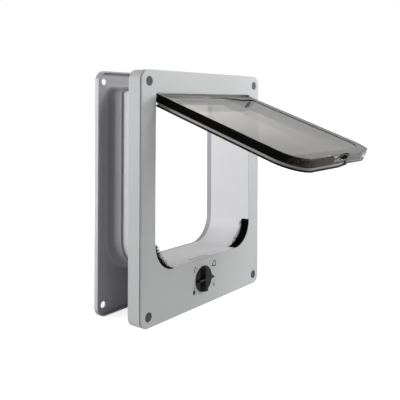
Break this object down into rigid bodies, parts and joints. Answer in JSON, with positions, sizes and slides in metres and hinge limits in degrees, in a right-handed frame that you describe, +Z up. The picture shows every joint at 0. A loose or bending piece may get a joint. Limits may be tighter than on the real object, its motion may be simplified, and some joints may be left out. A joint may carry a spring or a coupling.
{
  "type": "cat flap",
  "caption": "Four-way locking cat flap for a door: grey inner and outer frames, clear smoked flap with black pile edge held open, and a black rotary lock knob.",
  "frame": {"origin": "centre of the inner frame's four screw holes, on the plane where that frame meets the door", "axes": "+X to the right as seen from the room, +Y from the room to the outside, +Z up"},
  "size_m": [0.25, 0.2616, 0.295],
  "materials": {
    "frame_grey": "moulded, fine grain",
    "cap_grey": "moulded, satin",
    "black_plastic": "moulded, glossy",
    "clear_smoke": "clear, lightly smoked",
    "pile_black": "dense black pile",
    "steel": "plain steel",
    "magnet_dark": "dark coated"
  },
  "bodies": {
    "frame": {"inner_frame": "frame_grey", "outer_frame": "frame_grey", "lock_cover": "frame_grey", "detent_spring": "steel", "sill_magnet": "magnet_dark", "screw_cap_1": "cap_grey", "cover_screw_1": "steel", "screw_cap_2": "cap_grey", "cover_screw_2": "steel", "screw_cap_3": "cap_grey", "cover_screw_3": "steel", "screw_cap_4": "cap_grey", "cover_screw_4": "steel", "corner_pile_left": "pile_black", "corner_pile_right": "pile_black"},
    "flap": {"flap_front": "clear_smoke", "flap_back": "clear_smoke", "flap_magnet": "magnet_dark", "hinge_pin_left": "steel", "hinge_pin_right": "steel", "pile_left": "pile_black", "pile_right": "pile_black"},
    "lock": {"knob": "black_plastic", "cam_drum": "black_plastic", "knob_screw": "steel"}
  },
  "joints": [
    {"name": "flap_hinge", "type": "hinge", "parent": "frame", "child": "flap", "pos_m": [0, -0.0128, 0.1165], "axis": [1, 0, 0], "range_deg": [-8, 140]},
    {"name": "lock_turn", "type": "hinge", "parent": "frame", "child": "lock", "pos_m": [-0.007, -0.0129, -0.114], "axis": [0, -1, 0], "continuous": true}
  ]
}
